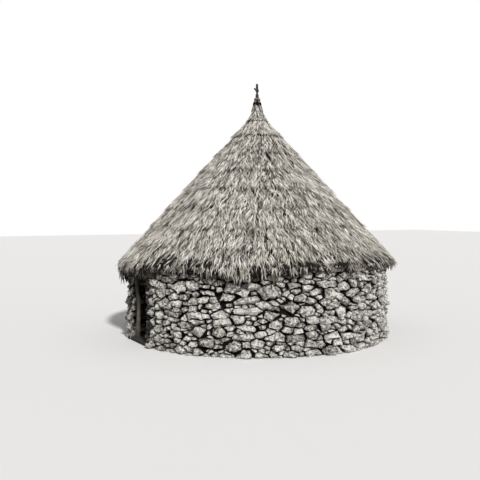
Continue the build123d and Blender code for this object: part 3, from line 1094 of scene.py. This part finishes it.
# The cap's face from its neck down to its butts
cap_line = [
    *reversed(arc_points(collar, (-cos(collar_slope), sin(collar_slope)), cap_neck, 3)),
    *reversed(arc_points(flare_start, (-cos(roof_pitch), sin(roof_pitch)), collar, 4)[:-1]),
    slope_point(cap_along, cap_face + course_step / 4),
]


def cap_section(bearing):
    """Section of the cap, clockwise from its neck down its face and back up the pole, alike all round."""
    butt = slope_point(cap_along, packed_face - course_step / 2)
    bed = slope_point(cap_along + course_lap, thatch_bed)
    return [*cap_line, butt, bed, pole_foot, pole_neck]


def cap_radius(height):
    """Radius of the cap's face at a height."""
    for (r_high, z_high), (r_low, z_low) in zip(cap_line, cap_line[1:]):
        if z_low <= height <= z_high:
            return r_low + (r_high - r_low) * (height - z_low) / (z_high - z_low)
    return cap_line[-1][0]


cap_straw = {
    "Bundles per m2": 4200.0, "Bundle length": 0.17, "Bundle width": 0.018, "Clump turn": 0.3,
    "Clump lift": 0.04, "Loose lift": 0.07, "Least lift": 0.05, "Butt along": cap_along,
    "Ring radius": 0.3, "Seed": 90,
}
thatch("thatch_cap_straw", cap_section, set(range(8)), cap_straw, "thatch_cap")


# Cords, rods and the pole


def cord(path, thickness, sides=6):
    """Points and faces of a round cord along a path, closed at both ends."""
    path = [Vector(place) for place in path]
    points = []
    for here, before, after in zip(path, path[:1] + path, path[1:] + path[-1:]):
        ahead = (after - before).normalized()
        side = ahead.cross(Vector((0, 0, 1))).normalized()
        rise = side.cross(ahead)
        for step in range(sides):
            angle = 2 * pi * step / sides
            points.append(tuple(here + thickness * (cos(angle) * side + sin(angle) * rise)))
    return points, tube_faces(sides, len(path))


def as_one(shapes):
    """Points and faces of several shapes put together."""
    points, faces = [], []
    for more_points, more_faces in shapes:
        faces += [tuple(len(points) + corner for corner in face) for face in more_faces]
        points += more_points
    return points, faces


def straw_cord(name, path, thickness, tone, *nodes):
    """A piece of straw cord along a path."""
    points, faces = cord(path, thickness)
    values = {"straw_tone": [tone] * len(points), "reach": [0.0] * len(points)}
    finish_piece(mesh_piece(name, points, faces, thatch_straw, **values), "straw_rope", *nodes)


def rope(name, low, high, turns, tone, *nodes):
    """Turns of twisted straw rope round the tip, from one radius and height to another."""
    steps = 16 * turns
    path = []
    for step in range(steps + 1):
        share = step / steps
        angle = 2 * pi * turns * share
        waver = rope_waver * noise.noise((angle * 0.7, turns, 0))
        radius = low[0] + (high[0] - low[0]) * share + waver
        path.append(round_place(angle, radius, low[1] + (high[1] - low[1]) * share))
    straw_cord(name, path, rope_radius, tone, *nodes)


# Tied tip: dark turns low on the sticks, paler ones high, and a sleeve of rope on up the bare pole
rope_radius = 0.006
rope_waver = 0.002
stick_radius = 0.012
stick_foot = (0.108, 4.474)
stick_top = (0.0341, 4.765)


def over_sticks(height):
    """Radius and height of the middle of a rope that lies on the leaning sticks."""
    share = (height - stick_foot[1]) / (stick_top[1] - stick_foot[1])
    return (stick_foot[0] + (stick_top[0] - stick_foot[0]) * share + stick_radius + rope_radius, height)


rope("apex_rope_lower", over_sticks(4.634), over_sticks(4.670), 4, -0.05, "apex_binding_lower")
rope("apex_rope_upper", over_sticks(4.728), over_sticks(4.756), 3, 0.65, "apex_binding_upper")
rope("pole_rope_sleeve", (0.031, 4.770), (0.024, 4.842), 7, 0.28)

# A thin cord drawn round the cap
cord_height, cord_waver, cord_rise = 4.295, 0.008, 0.014
cord_radius = 0.005
cord_steps = 72
path = []
for step in range(cord_steps + 1):
    angle = 2 * pi * step / cord_steps
    height = cord_height + cord_waver * noise.noise(round_place(angle, 3, 4))
    path.append(round_place(angle, cap_radius(height) + cord_rise, height))
straw_cord("cap_cord", path, cord_radius, -0.2)

# The short rods that it holds down: bearing, lowest and highest point, and lean, both angles in degrees
cap_rods = [(-86, 4.23, 4.34, 12), (2, 4.31, 4.41, -9), (95, 4.25, 4.36, 8), (172, 4.26, 4.37, -12)]
rod_radius, rod_rise = 0.008, 0.012
rods = []
for bearing, low, high, lean in cap_rods:
    path = []
    for share in (0, 0.25, 0.5, 0.75, 1):
        height = low + (high - low) * share
        path.append(round_place(radians(bearing + lean * share), cap_radius(height) + rod_rise, height))
    rods.append(cord(path, rod_radius))
finish_piece(mesh_piece("cap_rods", *as_one(rods), pole_timber), "roof_sticks")

# The pole as the crooked branch that it is: knotted, thick where a side branch broke off, rough at its tip
pole_profile = [
    (0.070, 3.834), (0.070, 4.02), (0.070, 4.19), (0.050, 4.42), (0.030, 4.64), (0.024, 4.75),
    (0.0185, 4.82), (0.0175, 4.85), (0.019, 4.868), (0.026, 4.884), (0.032, 4.900), (0.033, 4.918),
    (0.028, 4.936), (0.0245, 4.96), (0.0235, 4.985), (0.0245, 5.005), (0.0225, 5.03), (0.020, 5.045),
]
stub_profile = [(0.020, 0.0), (0.021, 0.022), (0.018, 0.045), (0.016, 0.066), (0.012, 0.084)]
stub_foot = (0, 0, 4.905)
stub_way = round_place(radians(237.5), 1.0, 0.95)


def branch(profile, foot, way, crook, seed, sides=12):
    """Points and faces of a rough round branch from radii and distances along its way."""
    foot, way = Vector(foot), Vector(way).normalized()
    side = way.orthogonal().normalized()
    rise = way.cross(side)
    points = []
    for radius, along in profile:
        bend = crook * noise.noise_vector((seed, 0, along * 14))
        for step in range(sides):
            angle = 2 * pi * step / sides
            out = cos(angle) * side + sin(angle) * rise
            rough = 1 + 0.16 * noise.noise(out * 1.6 + Vector((seed, 0, along * 26)))
            points.append(tuple(foot + way * along + bend + out * radius * rough))
    return points, tube_faces(sides, len(profile), mirrored=True)


pole = branch(pole_profile, (0, 0, 0), (0, 0, 1), 0.005, 3)
stub = branch(stub_profile, stub_foot, stub_way, 0.003, 8)
points, faces = as_one([pole, stub])
finish_piece(mesh_piece("king_pole_branch", points, faces, pole_timber), "bare_pole", "king_pole")


# Long single stalks that have worked loose and lie across the others
stalks_up_cap = 0.25
stalk_shell = 0.02


def whole_slope(bearing):
    """Thin shell on the face of the roof from the cap down to the eave, alike all round."""
    upper = cap_along + stalks_up_cap
    outer = packed_face + stalk_shell
    corners = ((upper, outer), (eave_along, outer), (eave_along, packed_face), (upper, packed_face))
    return [slope_point(*corner) for corner in corners]


stalk_straw = {
    "Bundles per m2": 45.0, "Bundle length": 0.46, "Bundle width": 0.013, "Clump turn": 0.3,
    "Loose turn": 0.75, "Clump lift": 0.04, "Loose lift": 0.03, "Least lift": 0.02, "Ring radius": 1.5,
    "Seed": 7, "Keep bed": False,
}
thatch("loose_stalks", whole_slope, {0}, stalk_straw)


# Finishes for the solids that show as they are, by how their names begin
finishes = {
    "lintel_log": lintel_timber,
    "door_post": post_timber,
    "door_threshold": slab_stone,
    "king_pole": pole_timber,
    "thatch": thatch_straw,
    "apex_binding": thatch_straw,
    "": rafter_timber,
}
for name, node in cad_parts.items():
    if not node.hide_render:
        node.data.materials.clear()
        node.data.materials.append(next(finishes[start] for start in finishes if name.startswith(start)))


# Floor, light and camera


def seen_straight(add):
    """Whether the camera sees a place itself or in a gloss, and not by light that bounces off it."""
    rays = add("LightPath").outputs
    return add("Math", (rays["Is Camera Ray"], rays["Is Glossy Ray"]), "MAXIMUM")


# The floor is pale to the eye, and mid grey to the light that bounces off it
floor_material, shader, add = new_material("pale_studio_floor")
colours = {"Factor": seen_straight(add), 6: srgb("#8F8C87"), 7: srgb("#FAF9F7")}
floor_colour = add("Mix", colours, data_type="RGBA")
feed(shader, {"Base Color": floor_colour.outputs[2], "Roughness": 0.9})
bpy.ops.mesh.primitive_plane_add(size=120)
floor = bpy.context.object
floor.name = "studio_floor"
floor.data.materials.append(floor_material)

world = bpy.data.worlds.new("studio")
bpy.context.scene.world = world
world.use_nodes = True
sky = world.node_tree
add = partial(add_node, sky)
background = sky.nodes["Background"]
feed(background, {"Color": (1, 1, 1, 1), "Strength": 0.28})
white = add("Background", {"Color": (1, 1, 1, 1), "Strength": 1.0})
choice = add("MixShader", (seen_straight(add), background, white))
feed(sky.nodes["World Output"], {"Surface": choice})

sun = bpy.data.lights.new("key", "SUN")
sun.energy = 3.1
sun.angle = radians(5)
sun_bearing, sun_height = radians(-12), radians(34)
sun_from = Vector(round_place(sun_bearing, cos(sun_height), sin(sun_height)))
link_object("key", sun).rotation_euler = sun_from.to_track_quat("Z", "Y").to_euler()

photo_distance = 14.0
photo_bearing = radians(-30)
eye_height = 2.46
# In pixels of the photo: focal length, width, and how far its middle lies from the hut's axis and horizon
focal_pixels = 686
frame_pixels = 480
aside_pixels = 17
below_pixels = 28
lens = bpy.data.cameras.new("photo_camera")
lens.sensor_width = 36
lens.lens = focal_pixels / frame_pixels * lens.sensor_width
lens.clip_end = 200
camera = link_object("photo_camera", lens)
camera.location = round_place(photo_bearing, photo_distance, eye_height)
heading = photo_bearing + pi + atan2(aside_pixels, focal_pixels)
dip = atan2(below_pixels, focal_pixels)
look = Vector(round_place(heading, cos(dip), -sin(dip)))
camera.rotation_euler = look.to_track_quat("-Z", "Y").to_euler()
bpy.context.scene.camera = camera
bpy.context.scene.view_settings.view_transform = "Standard"
